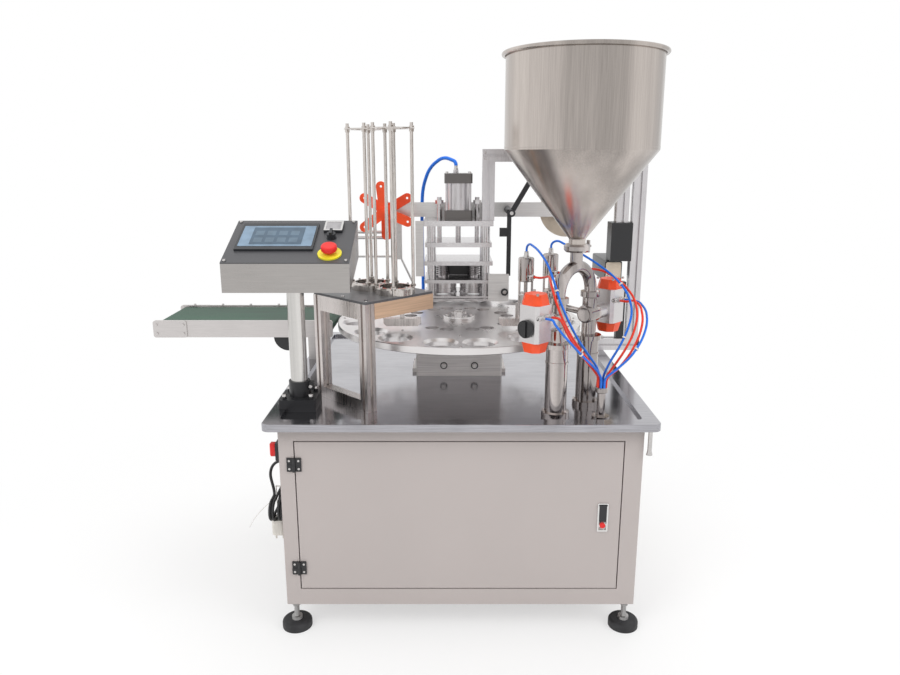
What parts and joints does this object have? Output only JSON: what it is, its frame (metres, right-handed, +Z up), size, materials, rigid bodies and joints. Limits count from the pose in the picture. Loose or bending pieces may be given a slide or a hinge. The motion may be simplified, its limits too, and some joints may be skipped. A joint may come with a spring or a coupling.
{
  "type": "cup filling and sealing machine",
  "caption": "Rotary cup filling and sealing machine on a cabinet, with hopper filler, film sealing press, cup magazines, operator box and outfeed belt.",
  "frame": {"origin": "on the floor under the middle of the machine's box, without the power cord", "axes": "+X to the operator's right, along the outfeed belt and the film; +Y to the back; +Z up"},
  "size_m": [1.516, 1.0508, 1.488],
  "materials": {
    "cabinet_paint": "satin paint",
    "black_rubber": "matte",
    "plated_steel": "bright plated",
    "black_fittings": "black",
    "latch_chrome": "bright",
    "latch_black": "black",
    "signal_red": "gloss",
    "tray_steel": "polished",
    "disc_aluminium": "turned",
    "press_steel": "ground",
    "cylinder_aluminium": "anodised",
    "film_steel": "satin",
    "chuck_orange": "gloss",
    "reel_beige": "matte",
    "roller_black": "matte",
    "column_steel": "polished",
    "panel_grey": "satin",
    "screen_black": "gloss",
    "collar_yellow": "gloss",
    "rail_aluminium": "anodised",
    "belt_green": "matte",
    "motor_black": "matte",
    "stand_steel": "brushed",
    "stand_plate": "satin",
    "rod_steel": "bright",
    "product_steel": "polished",
    "hopper_steel": "polished",
    "actuator_aluminium": "anodised",
    "indicator_black": "matte",
    "hose_blue": "satin",
    "hose_red": "satin",
    "cord_black": "matte",
    "plug_white": "matte"
  },
  "bodies": {
    "machine_base": {"actuator_bodies": "actuator_aluminium", "actuator_caps": "chuck_orange", "blue_air_hoses": "hose_blue", "cabinet_fittings": "black_fittings", "cabinet_shell": "cabinet_paint", "conveyor_belt": "belt_green", "conveyor_frame": "rail_aluminium", "conveyor_motor": "motor_black", "cord_hank": "cord_black", "cup_guides": "stand_steel", "cup_magazines": "rod_steel", "dispenser_frame": "stand_steel", "dispenser_plate": "stand_plate", "drain_spout": "plated_steel", "filling_nozzles": "product_steel", "film_bar": "film_steel", "film_brackets": "black_fittings", "film_frame": "cylinder_aluminium", "foot_pads": "black_rubber", "foot_studs": "plated_steel", "hopper": "hopper_steel", "hose_conduit": "product_steel", "index_housing": "tray_steel", "manifold_pipe": "product_steel", "metering_cylinders": "product_steel", "operator_base": "black_fittings", "operator_box": "column_steel", "operator_column": "column_steel", "operator_panel": "panel_grey", "operator_screen": "screen_black", "power_cord": "cord_black", "power_plug": "plug_white", "red_air_hoses": "hose_red", "rewind_motor": "black_fittings", "seal_cylinder": "cylinder_aluminium", "seal_frame": "press_steel", "stop_collar": "collar_yellow", "table_tray": "tray_steel", "valve_bodies": "product_steel"},
    "indexing_table": {"turntable": "disc_aluminium", "turntable_hub": "disc_aluminium"},
    "cabinet_door": {"door_panel": "cabinet_paint", "door_fittings": "latch_chrome"},
    "latch_handle": {"latch_paddle": "latch_black"},
    "latch_push": {"latch_button": "signal_red"},
    "main_switch": {"switch_knob": "signal_red"},
    "press_head": {"press_plates": "press_steel", "seal_heads": "press_steel"},
    "film_unwind": {"unwind_chucks": "chuck_orange"},
    "film_rewind": {"rewind_reel": "reel_beige"},
    "film_roller_upper": {"upper_roller": "roller_black"},
    "film_roller_lower": {"lower_roller": "roller_black"},
    "mode_selector": {"selector_knob": "screen_black"},
    "emergency_stop": {"stop_button": "signal_red"},
    "belt_drum_outer": {"outer_belt_roller": "rail_aluminium"},
    "belt_drum_inner": {"inner_belt_roller": "rail_aluminium"},
    "dosing_drive": {"dosing_pistons": "product_steel"},
    "left_valve": {"left_valve_stem": "indicator_black"},
    "right_valve": {"right_valve_stem": "indicator_black"},
    "shutoff_needles": {"nozzle_needles": "product_steel"}
  },
  "joints": [
    {"name": "turntable_index", "type": "hinge", "parent": "machine_base", "child": "indexing_table", "pos_m": [0.138, 0.02542, 0.752], "axis": [0, 0, 1], "continuous": true},
    {"name": "door_swing", "type": "hinge", "parent": "machine_base", "child": "cabinet_door", "pos_m": [-0.289, -0.44438, 0.333], "axis": [0, 0, -1], "range_deg": [0, 110]},
    {"name": "latch_lift", "type": "hinge", "parent": "cabinet_door", "child": "latch_handle", "pos_m": [0.508, -0.44208, 0.366], "axis": [-1, 0, 0], "range_deg": [0, 35], "stiffness_Nm_per_rad": 0.05},
    {"name": "latch_press", "type": "slide", "parent": "cabinet_door", "child": "latch_push", "axis": [0, 1, 0], "range_m": [0, 0.003], "stiffness_N_per_m": 500},
    {"name": "switch_turn", "type": "hinge", "parent": "machine_base", "child": "main_switch", "pos_m": [-0.342, -0.40458, 0.508], "axis": [-1, 0, 0], "range_deg": [0, 90]},
    {"name": "press_stroke", "type": "slide", "parent": "machine_base", "child": "press_head", "axis": [0, 0, -1], "range_m": [0, 0.03]},
    {"name": "unwind_turn", "type": "hinge", "parent": "machine_base", "child": "film_unwind", "pos_m": [-0.114, 0.38542, 1.062], "axis": [0, 1, 0], "continuous": true},
    {"name": "rewind_turn", "type": "hinge", "parent": "machine_base", "child": "film_rewind", "pos_m": [0.524, 0.45542, 1.062], "axis": [0, 1, 0], "continuous": true},
    {"name": "upper_roller_turn", "type": "hinge", "parent": "machine_base", "child": "film_roller_upper", "pos_m": [0.311, 0.33542, 1.066], "axis": [0, 1, 0], "continuous": true},
    {"name": "lower_roller_turn", "type": "hinge", "parent": "machine_base", "child": "film_roller_lower", "pos_m": [0.292, 0.33542, 0.806], "axis": [0, 1, 0], "continuous": true},
    {"name": "selector_turn", "type": "hinge", "parent": "machine_base", "child": "mode_selector", "pos_m": [-0.19383, -0.29571, 1.04002], "axis": [0, -0.4106, 0.9118], "range_deg": [-45, 45]},
    {"name": "stop_press", "type": "slide", "parent": "machine_base", "child": "emergency_stop", "axis": [0, 0.4106, -0.9118], "range_m": [0, 0.006], "stiffness_N_per_m": 800},
    {"name": "outer_drum_turn", "type": "hinge", "parent": "machine_base", "child": "belt_drum_outer", "pos_m": [-0.734, 0.02542, 0.7547], "axis": [0, 1, 0], "continuous": true},
    {"name": "inner_drum_turn", "type": "hinge", "parent": "machine_base", "child": "belt_drum_inner", "pos_m": [-0.258, 0.02542, 0.7547], "axis": [0, 1, 0], "continuous": true},
    {"name": "dosing_stroke", "type": "slide", "parent": "machine_base", "child": "dosing_drive", "axis": [0, 0, 1], "range_m": [0, 0.09]},
    {"name": "left_valve_turn", "type": "hinge", "parent": "machine_base", "child": "left_valve", "pos_m": [0.43145, -0.32742, 0.842], "axis": [0.7071, 0.7071, 0], "range_deg": [0, 90]},
    {"name": "right_valve_turn", "type": "hinge", "parent": "machine_base", "child": "right_valve", "pos_m": [0.43145, -0.32742, 0.842], "axis": [0.7071, 0.7071, 0], "range_deg": [0, 90]},
    {"name": "needle_lift", "type": "slide", "parent": "machine_base", "child": "shutoff_needles", "axis": [0, 0, 1], "range_m": [0, 0.012]}
  ],
  "couplings": [
    {"joint": "inner_drum_turn", "follows": "outer_drum_turn", "ratio": 1}
  ]
}
